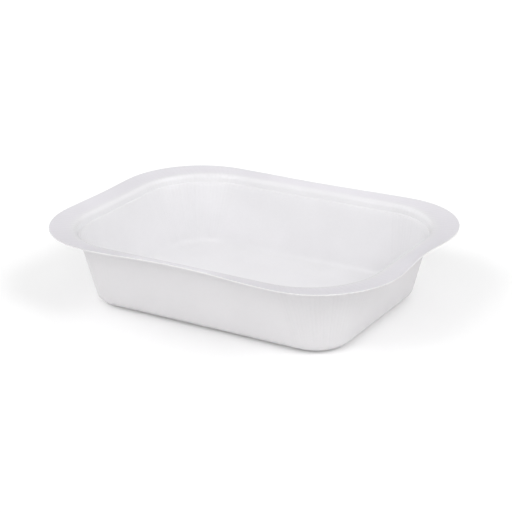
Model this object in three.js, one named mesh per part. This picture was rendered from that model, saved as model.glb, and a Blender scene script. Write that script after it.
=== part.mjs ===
// A ready-meal tray pressed from one flat blank of coated white board.
// It has a flat base, a rounded base edge, sloping walls, a small nesting ledge,
// a rounded fold, and a flange whose four corners are gathered in fine pleats.
// Millimetres, +Z up. The origin is the middle of the resting face, X runs along
// the tray and Y across it.

import * as THREE from "three";

// Board
const boardThickness = 0.5;

// Base. The length and width are those at which the outer faces of the walls
// would meet the table if the edge between them were not rounded.
const baseLength = 138.6;
const baseWidth = 94.8;
const restCornerRadius = 1.5;

// Base edge: a wide arc lifts off the table, then a tighter one turns into the wall
const liftArcRadius = 24;
const liftArcDegrees = 22;
const wallArcRadius = 6;

// Walls
const trayDepth = 37.9;
const wallDraftDegrees = 17;
const mouthCornerRadius = 36;

// Nesting ledge: a small outward step in the wall, so that stacked trays part easily
const ledgeDrop = 3.4;
const ledgeStep = 0.55;
const ledgeHeight = 0.5;

// Fold between wall and flange, measured on the lower face
const foldRadius = 2.6;

// Flange. Its sides bow in a little and it rises towards its edge.
const trayLength = 187;
const trayWidth = 137;
const flangeCornerRadius = 41.5;
const longSideWaist = 2.3;
const shortSideWaist = 1.5;
const flangeCornerRise = 1.2;
const flangeSideRise = 1.7;

// Pleats that take up the spare board in each corner
const pleatsPerCorner = 24;
const pleatDepth = 0.16;
const edgeScallop = 0.25;

// Fineness of the faces
const sideSteps = 6;
const liftArcSteps = 2;
const wallArcSteps = 3;
const foldArcSteps = 3;

const draft = THREE.MathUtils.degToRad(wallDraftDegrees);
const wallAngle = Math.PI / 2 - draft;
const wallRun = Math.tan(draft);

// The base edge ends on the wall at edgeTop, and its foot lies edgeTangent inside the
// base outline
const liftArc = THREE.MathUtils.degToRad(liftArcDegrees);
const arcDifference = liftArcRadius - wallArcRadius;
const edgeTop = liftArcRadius - arcDifference * Math.cos(liftArc) - wallArcRadius * Math.cos(wallAngle);
const edgeReach = arcDifference * Math.sin(liftArc) + wallArcRadius * Math.sin(wallAngle);
const edgeTangent = edgeReach - edgeTop * wallRun;

// The mouth is where the outer face of the wall meets the lower face of the flange
const mouthHeight = trayDepth - boardThickness;
const mouthOffset = mouthHeight * wallRun + ledgeStep;

// The outline at one level, as half its length, half its width and its corner radius
function bodyOutline(offset) {
  const share = (offset + edgeTangent) / (mouthOffset + edgeTangent);
  return {
    halfLength: baseLength / 2 + offset,
    halfWidth: baseWidth / 2 + offset,
    radius: THREE.MathUtils.lerp(restCornerRadius, mouthCornerRadius, share),
  };
}

const flangeOutline = {
  halfLength: trayLength / 2,
  halfWidth: trayWidth / 2,
  radius: flangeCornerRadius,
};

// Stations run anticlockwise round the tray. A corner station has the angle of its
// direction and a groove flag on every other station, and a side station has its
// place between the side's two ends, from -1 to 1, and how far it bows.
function makeStations() {
  const stations = [];
  const cornerSteps = 2 * pleatsPerCorner;
  for (let quarter = 0; quarter < 4; quarter += 1) {
    const signX = quarter === 0 || quarter === 3 ? 1 : -1;
    const signY = quarter < 2 ? 1 : -1;
    for (let step = 0; step <= cornerSteps; step += 1) {
      const angle = (quarter + step / cornerSteps) * (Math.PI / 2);
      stations.push({ signX, signY, angle, groove: step % 2, bow: 0, along: 1 });
    }
    const isLongSide = quarter % 2 === 0;
    for (let step = 1; step < sideSteps; step += 1) {
      const along = 1 - (2 * step) / sideSteps;
      const angle = (quarter + 1) * (Math.PI / 2);
      const bow = Math.cos((along * Math.PI) / 2) ** 2;
      stations.push({ signX, signY, angle, groove: 0, bow, along, isLongSide });
    }
  }
  return stations;
}

// The point of an outline at a station. The straight sides end at the corner centres.
function outlinePoint(outline, station) {
  let centreX = station.signX * (outline.halfLength - outline.radius);
  let centreY = station.signY * (outline.halfWidth - outline.radius);
  if (station.isLongSide === true) {
    centreX *= station.along;
  }
  if (station.isLongSide === false) {
    centreY *= station.along;
  }
  const x = centreX + outline.radius * Math.cos(station.angle);
  const y = centreY + outline.radius * Math.sin(station.angle);
  return new THREE.Vector2(x, y);
}

// The flange's cut edge at a station, with the bow of the side and the pleat's scallop
function flangeEdgePoint(station) {
  const waist = station.isLongSide ? longSideWaist : shortSideWaist;
  const pullIn = waist * station.bow + edgeScallop * station.groove;
  const outward = new THREE.Vector2(Math.cos(station.angle), Math.sin(station.angle));
  return outlinePoint(flangeOutline, station).addScaledVector(outward, -pullIn);
}

// The lower face's section at a station, as (offset, height) points from the resting
// face to the flange's edge. The offset is measured outwards from the base outline.
function lowerSection(flangeRun, flangeRise) {
  const points = [];
  for (let step = 0; step <= liftArcSteps; step += 1) {
    const turn = (liftArc * step) / liftArcSteps;
    const offset = liftArcRadius * Math.sin(turn) - edgeTangent;
    const height = liftArcRadius * (1 - Math.cos(turn));
    points.push(new THREE.Vector2(offset, height));
  }
  for (let step = 1; step <= wallArcSteps; step += 1) {
    const turn = THREE.MathUtils.lerp(liftArc, wallAngle, step / wallArcSteps);
    const offset = arcDifference * Math.sin(liftArc) + wallArcRadius * Math.sin(turn) - edgeTangent;
    const height = liftArcRadius - arcDifference * Math.cos(liftArc) - wallArcRadius * Math.cos(turn);
    points.push(new THREE.Vector2(offset, height));
  }

  const ledgeTop = mouthHeight - ledgeDrop;
  const ledgeFoot = ledgeTop - ledgeHeight;
  points.push(new THREE.Vector2(ledgeFoot * wallRun, ledgeFoot));
  points.push(new THREE.Vector2(ledgeTop * wallRun + ledgeStep, ledgeTop));

  const flangeAngle = Math.atan2(flangeRise, flangeRun);
  const foldTangent = foldRadius * Math.tan((wallAngle - flangeAngle) / 2);
  const centre = new THREE.Vector2(mouthOffset, mouthHeight);
  centre.x += foldTangent * Math.cos(flangeAngle) + foldRadius * Math.sin(flangeAngle);
  centre.y += foldTangent * Math.sin(flangeAngle) - foldRadius * Math.cos(flangeAngle);
  for (let step = 0; step <= foldArcSteps; step += 1) {
    const turn = THREE.MathUtils.lerp(wallAngle, flangeAngle, step / foldArcSteps);
    const offset = centre.x - foldRadius * Math.sin(turn);
    const height = centre.y + foldRadius * Math.cos(turn);
    points.push(new THREE.Vector2(offset, height));
  }

  points.push(new THREE.Vector2(mouthOffset + flangeRun, mouthHeight + flangeRise));
  return points;
}

// Directions from the lower face to the upper face, long enough at each bend of the
// section to keep the board's thickness on both sides of it
function sectionNormals(points) {
  const sideNormals = [new THREE.Vector2(0, 1)];
  for (let k = 1; k < points.length; k += 1) {
    const run = points[k].clone().sub(points[k - 1]).normalize();
    sideNormals.push(new THREE.Vector2(-run.y, run.x));
  }
  return points.map((_, k) => {
    const before = sideNormals[k];
    const after = sideNormals[Math.min(k + 1, points.length - 1)];
    const sum = before.clone().add(after);
    return sum.divideScalar(1 + before.dot(after));
  });
}

// The lower and upper face of the board at one station, as lists of 3D points that
// start at the middle of the tray and end at the flange's edge
function boardFaces(station) {
  const mouth = outlinePoint(bodyOutline(mouthOffset), station);
  const edge = flangeEdgePoint(station);
  const flangeRun = mouth.distanceTo(edge);
  const extraRise = (flangeSideRise - flangeCornerRise) * station.bow;
  const lower = lowerSection(flangeRun, flangeCornerRise + extraRise);
  const normals = sectionNormals(lower);

  const place = (offset, height) => {
    if (offset <= mouthOffset) {
      const point = outlinePoint(bodyOutline(offset), station);
      return new THREE.Vector3(point.x, point.y, height);
    }
    const point = mouth.clone().lerp(edge, (offset - mouthOffset) / flangeRun);
    return new THREE.Vector3(point.x, point.y, height);
  };

  const faceAt = (lift) =>
    lower.map((point, k) => {
      const share = (point.x + edgeTangent) / (mouthOffset + edgeTangent);
      const pleat = station.groove * pleatDepth * Math.min(share, 1);
      const normal = normals[k];
      return place(point.x + normal.x * (lift + pleat), point.y + normal.y * (lift + pleat));
    });

  return { lower: faceAt(0), upper: faceAt(boardThickness) };
}

// One closed body: the lower face from the middle of the base to the flange's edge,
// the cut edge, and the upper face back to the middle
function makeTrayGeometry() {
  const loops = makeStations().map((station) => {
    const { lower, upper } = boardFaces(station);
    return [...lower, ...upper.reverse()];
  });
  const ringCount = loops[0].length;
  const stationCount = loops.length;

  const positions = [];
  const indices = [];
  const vertexAt = (station, ring) => (station % stationCount) * ringCount + ring;
  loops.forEach((loop) => loop.forEach((point) => positions.push(point.x, point.y, point.z)));
  const underMiddle = positions.length / 3;
  positions.push(0, 0, 0);
  const floorMiddle = positions.length / 3;
  positions.push(0, 0, boardThickness);

  for (let station = 0; station < stationCount; station += 1) {
    indices.push(underMiddle, vertexAt(station + 1, 0), vertexAt(station, 0));
    for (let ring = 0; ring + 1 < ringCount; ring += 1) {
      const a = vertexAt(station, ring);
      const b = vertexAt(station + 1, ring);
      const c = vertexAt(station + 1, ring + 1);
      const d = vertexAt(station, ring + 1);
      indices.push(a, b, c);
      indices.push(a, c, d);
    }
    indices.push(floorMiddle, vertexAt(station, ringCount - 1), vertexAt(station + 1, ringCount - 1));
  }

  const geometry = new THREE.BufferGeometry();
  geometry.setAttribute("position", new THREE.Float32BufferAttribute(positions, 3));
  geometry.setIndex(indices);
  geometry.computeVertexNormals();
  return geometry;
}

const coatedBoard = new THREE.MeshStandardMaterial({
  color: 0xe9e7ee,
  roughness: 0.45,
  metalness: 0,
});

const tray = new THREE.Mesh(makeTrayGeometry(), coatedBoard);
tray.name = "tray";

const foodTray = new THREE.Group();
foodTray.name = "food_tray";
foodTray.add(tray);

export default foodTray;
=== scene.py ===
"""A ready-meal tray pressed from one blank of coated white board, on a pale studio floor.

The tray is one thin shell with the board's real thickness. Its section at every
station round the rim is a flat base, a rounded base edge, a sloping wall, a nesting
ledge, a fold and a rising flange. The corners are gathered in pleats.
"""

import math

import bpy
import numpy as np
from bpy.props import FloatProperty, FloatVectorProperty, IntProperty, PointerProperty
from bpy.types import Operator, Panel, PropertyGroup
from mathutils import Matrix, Vector


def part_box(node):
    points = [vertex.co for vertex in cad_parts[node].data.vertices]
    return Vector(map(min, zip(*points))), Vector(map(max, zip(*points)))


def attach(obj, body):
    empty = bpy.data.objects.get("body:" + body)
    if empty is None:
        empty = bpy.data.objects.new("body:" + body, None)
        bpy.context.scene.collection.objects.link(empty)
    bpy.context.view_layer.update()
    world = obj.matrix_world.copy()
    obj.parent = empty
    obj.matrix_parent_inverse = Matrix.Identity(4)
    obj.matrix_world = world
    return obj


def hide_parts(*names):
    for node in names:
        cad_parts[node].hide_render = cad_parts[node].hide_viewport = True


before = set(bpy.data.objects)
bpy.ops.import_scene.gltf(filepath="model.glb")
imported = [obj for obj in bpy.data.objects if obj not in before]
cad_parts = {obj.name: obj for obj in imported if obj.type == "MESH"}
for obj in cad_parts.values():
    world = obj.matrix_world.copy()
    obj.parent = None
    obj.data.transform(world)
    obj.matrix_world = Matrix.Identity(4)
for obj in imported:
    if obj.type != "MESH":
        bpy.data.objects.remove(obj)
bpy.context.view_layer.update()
tray_low, tray_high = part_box("tray")

bl_info = {
    "name": "Pressed Food Tray",
    "version": (1, 0, 0),
    "blender": (4, 5, 0),
    "location": "View3D > Sidebar > Food Tray",
    "description": "Builds a pressed board food tray and the studio that shows it",
    "category": "Add Mesh",
}

MM = 0.001
FOOD_SIDE = 0
TABLE_SIDE = 1
CUT_EDGE = 2

# Points along each part of the section, and steps round the plan
LIFT_ARC_POINTS = 6
WALL_ARC_POINTS = 9
WALL_POINTS = 12
LEDGE_POINTS = 6
FOLD_POINTS = 11
FLANGE_POINTS = 8
STEPS_PER_PLEAT = 7
SIDE_STEPS = 40

# Pleats, in shares of their own spacing, depth or way up the wall
PLACE_SPREAD = 0.12
LEAST_DEPTH = 0.55
LATEST_START = 0.35
FULL_DEPTH_AFTER = 0.6
CREASE_WIDTH = 0.16
FOLD_SHARE = 0.45
CREASE_SHARE = 0.55

# How much of a pleat is pressed flat on the flange, and over how much of its run
FLANGE_PRESS = 0.75
FLANGE_FADE = 0.4

# Faces that meet at more than this many degrees keep a sharp edge
SHARP_ANGLE = 50

# Grain of the board, as the scale and detail of noise
CLOUD = (55, 4)
FIBRE = (850, 3)
TOOTH = (2600, 2)
CUT_FIBRE = (1800, 4)


class TraySizes(PropertyGroup):
    """The tray's real sizes."""

    length: FloatProperty(
        name="Length", description="Length over the flange",
        default=tray_high[0] - tray_low[0], unit="LENGTH", precision=4)
    width: FloatProperty(
        name="Width", description="Width over the flange",
        default=tray_high[1] - tray_low[1], unit="LENGTH", precision=4)
    board: FloatProperty(
        name="Board", description="Thickness of the coated board",
        default=0.5 * MM, unit="LENGTH", precision=5)
    base_length: FloatProperty(
        name="Base length", description="Length at which the end walls would meet the table",
        default=138.6 * MM, unit="LENGTH", precision=4)
    base_width: FloatProperty(
        name="Base width", description="Width at which the side walls would meet the table",
        default=94.8 * MM, unit="LENGTH", precision=4)
    lift_radius: FloatProperty(
        name="Lift radius", description="Radius of the wide arc that lifts off the table",
        default=24.0 * MM, unit="LENGTH", precision=4)
    lift_arc: FloatProperty(
        name="Lift arc", description="Turn of the wide arc",
        default=math.radians(22.0), subtype="ANGLE")
    wall_radius: FloatProperty(
        name="Wall radius", description="Radius of the tighter arc that turns into the wall",
        default=6.0 * MM, unit="LENGTH", precision=4)
    rest_corner_radius: FloatProperty(
        name="Rest corner radius", description="Corner radius of the flat resting face",
        default=1.5 * MM, unit="LENGTH", precision=4)
    depth: FloatProperty(
        name="Depth", description="Height of the fold's top above the table",
        default=37.9 * MM, unit="LENGTH", precision=4)
    draft: FloatProperty(
        name="Wall draft", description="Slope of the walls from upright",
        default=math.radians(17.0), subtype="ANGLE")
    mouth_corner_radius: FloatProperty(
        name="Mouth corner radius", description="Corner radius where the wall meets the flange",
        default=36.0 * MM, unit="LENGTH", precision=4)
    ledge_drop: FloatProperty(
        name="Ledge drop", description="Depth of the nesting ledge under the mouth",
        default=3.4 * MM, unit="LENGTH", precision=5)
    ledge_step: FloatProperty(
        name="Ledge step", description="Outward step of the wall at the nesting ledge",
        default=0.55 * MM, unit="LENGTH", precision=5)
    ledge_height: FloatProperty(
        name="Ledge height", description="Height over which the wall steps out",
        default=0.5 * MM, unit="LENGTH", precision=5)
    fold_radius: FloatProperty(
        name="Fold radius", description="Radius of the fold on the lower face",
        default=2.6 * MM, unit="LENGTH", precision=5)
    flange_corner_radius: FloatProperty(
        name="Flange corner radius", description="Corner radius of the flange's cut edge",
        default=41.5 * MM, unit="LENGTH", precision=4)
    long_waist: FloatProperty(
        name="Long side waist", description="How far the middle of a long side bows in",
        default=2.3 * MM, unit="LENGTH", precision=5)
    short_waist: FloatProperty(
        name="Short side waist", description="How far the middle of a short side bows in",
        default=1.5 * MM, unit="LENGTH", precision=5)
    corner_rise: FloatProperty(
        name="Corner rise", description="How far the flange rises to its edge at a corner",
        default=1.2 * MM, unit="LENGTH", precision=5)
    side_rise: FloatProperty(
        name="Side rise", description="How far the flange rises to its edge mid-side",
        default=1.7 * MM, unit="LENGTH", precision=5)
    pleats: IntProperty(
        name="Pleats", description="Pleats in each corner", default=24, min=1)
    pleat_depth: FloatProperty(
        name="Pleat depth", description="Depth of a pleat at the mouth",
        default=0.10 * MM, unit="LENGTH", precision=5)
    scallop: FloatProperty(
        name="Edge scallop", description="How far a pleat draws in the cut edge",
        default=0.25 * MM, unit="LENGTH", precision=5)


class TrayFinish(PropertyGroup):
    """The colours and gloss of the board."""

    food_colour: FloatVectorProperty(
        name="Food side", description="Colour of the film-coated face",
        default=(0.798, 0.791, 0.808), size=3, subtype="COLOR", min=0, max=1)
    # Painted shade and reflection: the flange's colour is made darker and lilac to stand in for the shade
    # and dull reflection on it.
    flange_painted_shade: FloatVectorProperty(
        name="Flange painted shade", description="Painted shade and reflection: a darker lilac tint on the flange",
        default=(0.985, 0.972, 1.0), size=3, subtype="COLOR", min=0, max=1)
    table_colour: FloatVectorProperty(
        name="Outside", description="Colour of the uncoated outer face",
        default=(0.738, 0.727, 0.740), size=3, subtype="COLOR", min=0, max=1)
    edge_colour: FloatVectorProperty(
        name="Cut edge", description="Colour of the board's bare fibres at the cut",
        default=(0.79, 0.775, 0.78), size=3, subtype="COLOR", min=0, max=1)
    film_gloss: FloatProperty(
        name="Film gloss", description="Strength of the clear film on the food side",
        default=0.55, min=0, max=1, subtype="FACTOR")


class StudioSettings(PropertyGroup):
    """The camera and the light."""

    azimuth: FloatProperty(
        name="Azimuth", description="Camera's turn round the tray from the front",
        default=math.radians(31.88), subtype="ANGLE")
    elevation: FloatProperty(
        name="Elevation", description="Camera's height angle above the table",
        default=math.radians(21.52), subtype="ANGLE")
    roll: FloatProperty(
        name="Roll", description="Camera's turn about its own axis",
        default=math.radians(-1.25), subtype="ANGLE")
    distance: FloatProperty(
        name="Distance", description="Distance from the camera to the middle of the tray",
        default=755.5 * MM, unit="LENGTH")
    lens: FloatProperty(
        name="Lens", description="Focal length in millimetres on a 36 mm sensor",
        default=107.81, min=1)
    sky_strength: FloatProperty(
        name="Sky strength", description="Strength of the even light from all sides",
        default=0.25, min=0)
    front_strength: FloatProperty(
        name="Front strength", description="Strength of the broad lamp in front",
        default=1.12, min=0)
    right_strength: FloatProperty(
        name="Right strength", description="Strength of the broad lamp on the right",
        default=0.90, min=0)
    left_strength: FloatProperty(
        name="Left strength", description="Strength of the broad lamp on the left",
        default=0.86, min=0)
    back_strength: FloatProperty(
        name="Back strength", description="Strength of the broad lamp behind",
        default=0.62, min=0)
    softbox_strength: FloatProperty(
        name="Softbox strength", description="Strength of each softbox that the film mirrors",
        default=0.56, min=0)
    floor_glow: FloatProperty(
        name="Floor glow", description="Light that the floor adds for the camera and in mirrored rays",
        default=0.11, min=0)


# Section of the board

def body_outline(sizes, offset):
    """Half length, half width and corner radius of the body at an offset from the base."""
    share = (offset + sizes.edge_tangent) / (sizes.mouth_offset + sizes.edge_tangent)
    radius = sizes.rest_corner_radius + (sizes.mouth_corner_radius - sizes.rest_corner_radius) * share
    return sizes.base_length / 2 + offset, sizes.base_width / 2 + offset, radius


class DerivedSizes:
    """The tray's sizes with those worked out from them."""

    def __init__(self, source):
        for name in source.__annotations__:
            setattr(self, name, getattr(source, name))
        self.wall_angle = math.pi / 2 - self.draft
        self.wall_run = math.tan(self.draft)
        self.arc_difference = self.lift_radius - self.wall_radius
        self.edge_top = self.edge_height(self.wall_angle)
        self.edge_tangent = self.edge_reach(self.wall_angle) - self.edge_top * self.wall_run
        self.mouth_height = self.depth - self.board
        self.mouth_offset = self.mouth_height * self.wall_run + self.ledge_step

    def edge_reach(self, turn):
        """How far the base edge's tighter arc reaches out from the flat at a turn."""
        return self.arc_difference * math.sin(self.lift_arc) + self.wall_radius * np.sin(turn)

    def edge_height(self, turn):
        """The height of the base edge's tighter arc at a turn."""
        centre_height = self.lift_radius - self.arc_difference * math.cos(self.lift_arc)
        return centre_height - self.wall_radius * np.cos(turn)


def smooth_step(value):
    """A ramp from 0 to 1 with level ends."""
    t = np.clip(value, 0, 1)
    return t * t * (3 - 2 * t)


def lower_section(sizes, flange_run, flange_rise):
    """Offsets and heights of the lower face from the resting face to the flange's edge."""
    lift = np.linspace(0, sizes.lift_arc, LIFT_ARC_POINTS)
    turn = np.linspace(sizes.lift_arc, sizes.wall_angle, WALL_ARC_POINTS)[1:]
    reach = np.concatenate([sizes.lift_radius * np.sin(lift), sizes.edge_reach(turn)])
    offsets = [reach - sizes.edge_tangent]
    heights = [np.concatenate([sizes.lift_radius * (1 - np.cos(lift)), sizes.edge_height(turn)])]

    ledge_top = sizes.mouth_height - sizes.ledge_drop
    ledge_foot = ledge_top - sizes.ledge_height
    wall = np.linspace(heights[0][-1], ledge_foot, WALL_POINTS)[1:]
    ledge = np.linspace(ledge_foot, ledge_top, LEDGE_POINTS)[1:]
    upright = np.concatenate([wall, ledge])
    step = sizes.ledge_step * smooth_step((upright - ledge_foot) / sizes.ledge_height)
    offsets.append(upright * sizes.wall_run + step)
    heights.append(upright)

    flange_angle = math.atan2(flange_rise, flange_run)
    tangent = sizes.fold_radius * math.tan((sizes.wall_angle - flange_angle) / 2)
    along = np.array([math.cos(flange_angle), math.sin(flange_angle)])
    down = np.array([math.sin(flange_angle), -math.cos(flange_angle)])
    mouth = np.array([sizes.mouth_offset, sizes.mouth_height])
    centre = mouth + tangent * along + sizes.fold_radius * down
    turn = np.linspace(sizes.wall_angle, flange_angle, FOLD_POINTS)
    offsets.append(centre[0] - sizes.fold_radius * np.sin(turn))
    heights.append(centre[1] + sizes.fold_radius * np.cos(turn))

    fold_end = tangent / math.hypot(flange_run, flange_rise)
    share = np.linspace(fold_end, 1, FLANGE_POINTS)[1:]
    offsets.append(sizes.mouth_offset + flange_run * share)
    heights.append(sizes.mouth_height + flange_rise * share)
    return np.column_stack([np.concatenate(offsets), np.concatenate(heights)])


def section_normals(points):
    """Directions from the lower to the upper face at each point of a section."""
    run = np.diff(points, axis=0)
    run /= np.linalg.norm(run, axis=1)[:, None]
    side = np.column_stack([-run[:, 1], run[:, 0]])
    before = np.vstack([[0, 1], side])
    after = np.vstack([side, side[-1]])
    dot = (before * after).sum(axis=1)
    return (before + after) / (1 + dot)[:, None]


# Plan of the tray

class Station:
    """A place on the way round the tray."""

    def __init__(self, quarter, turn, along, long_side, bow, corner_share):
        self.sign_x = 1 if quarter in (0, 3) else -1
        self.sign_y = 1 if quarter < 2 else -1
        self.quarter = quarter
        self.angle = (quarter + turn) * math.pi / 2
        self.along_x = along if long_side is True else 1
        self.along_y = along if long_side is False else 1
        self.long_side = long_side
        self.bow = bow
        self.corner_share = corner_share

    def place(self, half_length, half_width, radius):
        """Points of outlines at this station."""
        x = self.sign_x * self.along_x * (half_length - radius) + radius * math.cos(self.angle)
        y = self.sign_y * self.along_y * (half_width - radius) + radius * math.sin(self.angle)
        return np.stack([x, y], axis=-1)


def make_stations(pleats):
    """All stations, anticlockwise from the end of the right short side."""
    stations = []
    corner_steps = pleats * STEPS_PER_PLEAT
    for quarter in range(4):
        for step in range(corner_steps + 1):
            share = step / corner_steps
            stations.append(Station(quarter, share, 1, None, 0, share))
        for step in range(1, SIDE_STEPS):
            along = 1 - 2 * step / SIDE_STEPS
            bow = math.cos(along * math.pi / 2) ** 2
            stations.append(Station(quarter, 1, along, quarter % 2 == 0, bow, None))
    return stations


class Pleats:
    """The creases of all four corners, each with its own place, depth and start."""

    def __init__(self, count, seed=7):
        draw = np.random.default_rng(seed)
        shape = (4, count)
        place = np.arange(count) + 0.5 + draw.uniform(-PLACE_SPREAD, PLACE_SPREAD, shape)
        self.centre = place / count
        self.depth = draw.uniform(LEAST_DEPTH, 1.0, shape)
        self.start = draw.uniform(0.0, LATEST_START, shape)
        self.half_width = 0.5 / count
        self.crease_width = CREASE_WIDTH / count

    def at(self, station, share):
        """Fold depth and sharp crease at a station, for shares of the way up the wall."""
        if station.corner_share is None:
            return np.zeros_like(share), np.zeros_like(share)
        away = np.abs(station.corner_share - self.centre[station.quarter])
        fold = np.clip(1 - away / self.half_width, 0, 1)
        crease = np.exp(-(away / self.crease_width) ** 2)
        reach = smooth_step((share[:, None] - self.start[station.quarter]) / FULL_DEPTH_AFTER)
        depth = self.depth[station.quarter] * reach
        fold_depth = (fold * depth * FOLD_SHARE).sum(axis=1)
        crease_depth = (crease * depth * CREASE_SHARE).sum(axis=1)
        return fold_depth, crease_depth


def board_faces(sizes, station, pleats):
    """Lower face, upper face, crease strength and share of flange at a station."""
    mouth = station.place(*body_outline(sizes, sizes.mouth_offset))
    edge = station.place(sizes.length / 2, sizes.width / 2, sizes.flange_corner_radius)
    outward = np.array([math.cos(station.angle), math.sin(station.angle)])
    waist = sizes.long_waist if station.long_side else sizes.short_waist
    fold_top, crease_top = pleats.at(station, np.ones(1))
    pull_in = waist * station.bow + sizes.scallop * (fold_top + crease_top)[0]
    edge = edge - outward * pull_in

    flange_run = float(np.linalg.norm(edge - mouth))
    rise = sizes.corner_rise + (sizes.side_rise - sizes.corner_rise) * station.bow
    lower = lower_section(sizes, flange_run, rise)
    normals = section_normals(lower)
    way_up = (lower[:, 0] + sizes.edge_tangent) / (sizes.mouth_offset + sizes.edge_tangent)
    fold, crease = pleats.at(station, np.clip(way_up, 0, 1))
    on_flange = smooth_step((lower[:, 0] - sizes.mouth_offset) / (FLANGE_FADE * flange_run))
    depth = sizes.pleat_depth * (fold + crease) * (1 - FLANGE_PRESS * on_flange)

    def face(lift):
        section = lower + normals * (lift + depth)[:, None]
        offset, height = section[:, 0], section[:, 1]
        body = station.place(*body_outline(sizes, offset))
        share = ((offset - sizes.mouth_offset) / flange_run)[:, None]
        flange = mouth + (edge - mouth) * share
        plan = np.where(share > 0, flange, body)
        return np.column_stack([plan, height])

    return face(0), face(sizes.board), crease, on_flange


def make_tray_mesh(sizes):
    """The closed shell, with a material for each face and crease and flange attributes."""
    pleats = Pleats(sizes.pleats)
    stations = make_stations(sizes.pleats)
    loops, creases, flanges = [], [], []
    for station in stations:
        lower, upper, crease, flange = board_faces(sizes, station, pleats)
        loops.append(np.vstack([lower, upper[::-1]]))
        creases.append(np.concatenate([crease, crease[::-1]]))
        flanges.append(np.concatenate([flange, flange[::-1]]))
    lower_count = len(lower)
    ring_count = len(loops[0])
    station_count = len(loops)

    points = np.vstack(loops + [[[0, 0, 0], [0, 0, sizes.board]]])
    under_middle = station_count * ring_count
    floor_middle = under_middle + 1
    here = np.arange(station_count)
    after = (here + 1) % station_count
    quads, quad_materials = [], []
    for ring in range(ring_count - 1):
        a = here * ring_count + ring
        b = after * ring_count + ring
        quads.append(np.column_stack([a, b, b + 1, a + 1]))
        material = TABLE_SIDE if ring < lower_count - 1 else FOOD_SIDE
        material = CUT_EDGE if ring == lower_count - 1 else material
        quad_materials += [material] * station_count
    quads = np.vstack(quads)
    last = ring_count - 1
    under = np.column_stack([np.full(station_count, under_middle), after * ring_count, here * ring_count])
    floor = np.column_stack([np.full(station_count, floor_middle), here * ring_count + last,
                             after * ring_count + last])

    mesh = bpy.data.meshes.new("pressed_tray")
    mesh.from_pydata(points.tolist(), [], quads.tolist() + under.tolist() + floor.tolist())
    materials = quad_materials + [TABLE_SIDE] * station_count + [FOOD_SIDE] * station_count
    mesh.polygons.foreach_set("material_index", materials)
    mesh.polygons.foreach_set("use_smooth", [True] * len(mesh.polygons))
    for name, values in (("crease", creases), ("flange", flanges)):
        attribute = mesh.attributes.new(name, "FLOAT", "POINT")
        attribute.data.foreach_set("value", np.concatenate(values + [[0, 0]]))
    mesh.update()
    mesh.set_sharp_from_angle(angle=math.radians(SHARP_ANGLE))
    return mesh


# Finishes

class NodeBench:
    """Adds and links the nodes of one material."""

    def __init__(self, name):
        self.material = bpy.data.materials.new(name)
        self.material.use_nodes = True
        self.tree = self.material.node_tree
        self.shader = self.tree.nodes["Principled BSDF"]

    def add(self, kind, **values):
        node = self.tree.nodes.new(kind)
        for name, value in values.items():
            setattr(node, name, value)
        return node

    def link(self, source, target):
        self.tree.links.new(source, target)

    def noise(self, place, grain):
        scale, detail = grain
        node = self.add("ShaderNodeTexNoise")
        node.inputs["Scale"].default_value = scale
        node.inputs["Detail"].default_value = detail
        self.link(place, node.inputs["Vector"])
        return node.outputs["Fac"]

    def ramp(self, value, low, high):
        node = self.add("ShaderNodeMapRange")
        node.inputs["To Min"].default_value = low
        node.inputs["To Max"].default_value = high
        self.link(value, node.inputs["Value"])
        return node.outputs["Result"]

    def maths(self, operation, a, b):
        node = self.add("ShaderNodeMath", operation=operation)
        for socket, value in zip(node.inputs, (a, b)):
            if isinstance(value, (int, float)):
                socket.default_value = value
            else:
                self.link(value, socket)
        return node.outputs["Value"]

    def bump(self, height, strength, distance, normal=None):
        node = self.add("ShaderNodeBump")
        node.inputs["Strength"].default_value = strength
        node.inputs["Distance"].default_value = distance
        self.link(height, node.inputs["Height"])
        if normal is not None:
            self.link(normal, node.inputs["Normal"])
        return node.outputs["Normal"]


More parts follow.
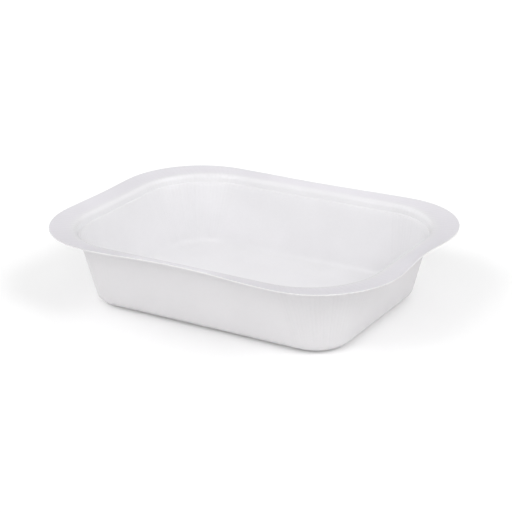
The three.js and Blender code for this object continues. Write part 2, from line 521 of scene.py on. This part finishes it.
def board_material(name, colour, roughness, fibre_bump, flange_painted_shade=(1, 1, 1), coat=0.0, coat_roughness=0.3):
    """White board with a fibre cloud, fine tooth, painted shade in the pleat creases and a painted shade and
    reflection tint on the flange.
    """
    bench = NodeBench(name)
    place = bench.add("ShaderNodeTexCoord").outputs["Object"]
    cloud = bench.noise(place, CLOUD)
    fibre = bench.noise(place, FIBRE)
    tooth = bench.noise(place, TOOTH)

    # Painted shade: the colour is darkened along the pleat creases, where shade falls.
    crease_shade = 0.03
    shade = bench.maths("ADD", bench.ramp(cloud, 0.955, 1.02), bench.ramp(fibre, -0.018, 0.012))
    crease = bench.add("ShaderNodeAttribute", attribute_name="crease").outputs["Fac"]
    kept = bench.maths("SUBTRACT", 1.0, bench.maths("MULTIPLY", crease, crease_shade))
    shade = bench.maths("MULTIPLY", shade, kept)

    tint = bench.add("ShaderNodeMix", data_type="RGBA", blend_type="MULTIPLY")
    tint.inputs["Factor"].default_value = 1.0
    # Painted shade and reflection: on the flange the colour is multiplied by the flange's darker lilac tint.
    flange = bench.add("ShaderNodeAttribute", attribute_name="flange").outputs["Fac"]
    face = bench.add("ShaderNodeMix", data_type="RGBA")
    face.inputs["A"].default_value = (*colour, 1)
    face.inputs["B"].default_value = (*(a * b for a, b in zip(colour, flange_painted_shade)), 1)
    bench.link(flange, face.inputs["Factor"])
    bench.link(face.outputs["Result"], tint.inputs["A"])
    bench.link(shade, tint.inputs["B"])
    bench.link(tint.outputs["Result"], bench.shader.inputs["Base Color"])

    rough = bench.maths("ADD", bench.ramp(cloud, roughness - 0.06, roughness + 0.06),
                        bench.ramp(fibre, -0.03, 0.03))
    bench.link(rough, bench.shader.inputs["Roughness"])
    normal = bench.bump(fibre, fibre_bump, 0.06 * MM)
    normal = bench.bump(tooth, fibre_bump, 0.02 * MM, normal)
    bench.link(normal, bench.shader.inputs["Normal"])
    bench.shader.inputs["Coat Weight"].default_value = coat
    bench.shader.inputs["Coat Roughness"].default_value = coat_roughness
    bench.shader.inputs["IOR"].default_value = 1.5
    bench.shader.inputs["Specular IOR Level"].default_value = 0.3
    return bench.material


def edge_material(name, colour):
    """Bare fibres at the cut edge."""
    bench = NodeBench(name)
    place = bench.add("ShaderNodeTexCoord").outputs["Object"]
    fibre = bench.noise(place, CUT_FIBRE)
    tint = bench.add("ShaderNodeMix", data_type="RGBA", blend_type="MULTIPLY")
    tint.inputs["Factor"].default_value = 1.0
    tint.inputs["A"].default_value = (*colour, 1)
    bench.link(bench.ramp(fibre, 0.9, 1.05), tint.inputs["B"])
    bench.link(tint.outputs["Result"], bench.shader.inputs["Base Color"])
    bench.link(bench.ramp(fibre, 0.75, 0.95), bench.shader.inputs["Roughness"])
    bench.link(bench.bump(fibre, 0.5, 0.08 * MM), bench.shader.inputs["Normal"])
    return bench.material


class FOODTRAY_OT_make_tray(Operator):
    """Build the pressed board tray"""

    bl_idname = "food_tray.make_tray"
    bl_label = "Make Tray"

    def execute(self, context):
        finish = context.scene.tray_finish
        mesh = make_tray_mesh(DerivedSizes(context.scene.tray_sizes))
        mesh.materials.append(board_material(
            "film_coated_board", finish.food_colour, roughness=0.50, fibre_bump=0.25,
            flange_painted_shade=finish.flange_painted_shade, coat=finish.film_gloss, coat_roughness=0.13))
        mesh.materials.append(board_material(
            "plain_board", finish.table_colour, roughness=0.70, fibre_bump=0.45))
        mesh.materials.append(edge_material("cut_fibres", finish.edge_colour))
        piece = bpy.data.objects.new("pressed_tray", mesh)
        context.scene.collection.objects.link(piece)
        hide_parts("tray")
        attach(piece, "root")
        return {"FINISHED"}


# Studio

def make_floor(scene, studio):
    """A pale floor that is white to the camera, keeps the tray's shadow and rises at its edge."""
    half = 8.0
    rise = 0.7
    gap = 0.02 * MM
    tone = 0.9
    mesh = bpy.data.meshes.new("studio_floor")
    square = [(-half, -half), (half, -half), (half, half), (-half, half)]
    corners = [(x, y, z) for z in (0, rise) for x, y in square]
    sides = [(k, k + 4, (k + 1) % 4 + 4, (k + 1) % 4) for k in range(4)]
    mesh.from_pydata(corners, [], [(0, 1, 2, 3)] + sides)
    floor = bpy.data.objects.new("studio_floor", mesh)
    floor.location.z = -gap
    scene.collection.objects.link(floor)

    material = bpy.data.materials.new("pale_floor")
    material.use_nodes = True
    tree = material.node_tree
    shader = tree.nodes["Principled BSDF"]
    shader.inputs["Base Color"].default_value = (tone, tone, tone, 1)
    shader.inputs["Roughness"].default_value = 0.9
    shader.inputs["Specular IOR Level"].default_value = 0.2
    shader.inputs["Emission Color"].default_value = (1, 1, 1, 1)
    path = tree.nodes.new("ShaderNodeLightPath")
    seen = path.outputs["Is Camera Ray"]
    for mirrored in ("Is Glossy Ray", "Is Transmission Ray"):
        either = tree.nodes.new("ShaderNodeMath")
        either.operation = "MAXIMUM"
        tree.links.new(seen, either.inputs[0])
        tree.links.new(path.outputs[mirrored], either.inputs[1])
        seen = either.outputs["Value"]
    glow = tree.nodes.new("ShaderNodeMath")
    glow.operation = "MULTIPLY"
    glow.inputs[1].default_value = studio.floor_glow
    tree.links.new(seen, glow.inputs[0])
    tree.links.new(glow.outputs["Value"], shader.inputs["Emission Strength"])
    mesh.materials.append(material)


def make_sun(scene, name, strength, azimuth, elevation, spread):
    """A sun lamp at an azimuth and elevation, with its angular size, all in degrees."""
    turn, height = math.radians(azimuth), math.radians(elevation)
    level = math.cos(height)
    towards = Vector((math.sin(turn) * level, -math.cos(turn) * level, math.sin(height)))
    lamp = bpy.data.lights.new(name, "SUN")
    lamp.energy = strength
    lamp.angle = math.radians(spread)
    sun = bpy.data.objects.new(name, lamp)
    sun.rotation_euler = towards.to_track_quat("Z", "Y").to_euler()
    scene.collection.objects.link(sun)


def make_light(scene, studio):
    """Even light from all sides, four broad lamps and two softboxes that the film mirrors."""
    world = bpy.data.worlds.new("studio_sky")
    world.use_nodes = True
    sky = world.node_tree.nodes["Background"]
    sky.inputs["Color"].default_value = (1, 1, 1, 1)
    sky.inputs["Strength"].default_value = studio.sky_strength
    scene.world = world
    make_sun(scene, "front_lamp", studio.front_strength, 8, 27, 60)
    make_sun(scene, "right_lamp", studio.right_strength, 95, 26, 60)
    make_sun(scene, "left_lamp", studio.left_strength, -90, 29, 60)
    make_sun(scene, "back_lamp", studio.back_strength, 170, 55, 60)
    make_sun(scene, "left_softbox", studio.softbox_strength, -22, 44, 22)
    make_sun(scene, "right_softbox", studio.softbox_strength, 82, 44, 22)


def make_camera(scene, studio):
    """The camera at the photograph's viewing angle."""
    target = Vector((0, 0, 18.83 * MM))
    slide_right = 1.07 * MM
    slide_up = 2.63 * MM
    az, el, roll = studio.azimuth, studio.elevation, studio.roll
    back = Vector((math.sin(az) * math.cos(el), -math.cos(az) * math.cos(el), math.sin(el)))
    level_right = Vector((math.cos(az), math.sin(az), 0))
    level_up = back.cross(level_right)
    right = level_right * math.cos(roll) + level_up * math.sin(roll)
    up = level_up * math.cos(roll) - level_right * math.sin(roll)

    lens = bpy.data.cameras.new("studio_camera")
    lens.sensor_width = 36
    lens.lens = studio.lens
    lens.clip_start = 10 * MM
    camera = bpy.data.objects.new("studio_camera", lens)
    turn = Matrix((right, up, back)).transposed().to_4x4()
    place = target + back * studio.distance + right * slide_right + up * slide_up
    camera.matrix_world = Matrix.Translation(place) @ turn
    scene.collection.objects.link(camera)
    scene.camera = camera


class FOODTRAY_OT_set_stage(Operator):
    """Set up the floor, the light and the camera"""

    bl_idname = "food_tray.set_stage"
    bl_label = "Set Stage"

    def execute(self, context):
        scene = context.scene
        make_floor(scene, scene.tray_studio)
        make_light(scene, scene.tray_studio)
        make_camera(scene, scene.tray_studio)
        scene.view_settings.view_transform = "Standard"
        return {"FINISHED"}


class FOODTRAY_PT_panel(Panel):
    """The tray's sizes, finish and studio"""

    bl_idname = "FOODTRAY_PT_panel"
    bl_label = "Food Tray"
    bl_space_type = "VIEW_3D"
    bl_region_type = "UI"
    bl_category = "Food Tray"

    def draw(self, context):
        scene = context.scene
        for settings in (scene.tray_sizes, scene.tray_finish, scene.tray_studio):
            column = self.layout.column(align=True)
            for name in settings.__annotations__:
                column.prop(settings, name)
        for operator in OPERATORS:
            self.layout.operator(operator.bl_idname)


GROUPS = {"tray_sizes": TraySizes, "tray_finish": TrayFinish, "tray_studio": StudioSettings}
OPERATORS = (FOODTRAY_OT_set_stage, FOODTRAY_OT_make_tray)


def register():
    """Register the classes and hang the settings on the scene."""
    for cls in (*GROUPS.values(), *OPERATORS, FOODTRAY_PT_panel):
        bpy.utils.register_class(cls)
    for name, group in GROUPS.items():
        setattr(bpy.types.Scene, name, PointerProperty(type=group))


def unregister():
    """Take the settings and classes away again."""
    for name in GROUPS:
        delattr(bpy.types.Scene, name)
    for cls in (FOODTRAY_PT_panel, *OPERATORS, *GROUPS.values()):
        bpy.utils.unregister_class(cls)


def main():
    """Register the add-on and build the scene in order."""
    register()
    bpy.ops.food_tray.set_stage()
    bpy.ops.food_tray.make_tray()


if __name__ == "__main__":
    main()
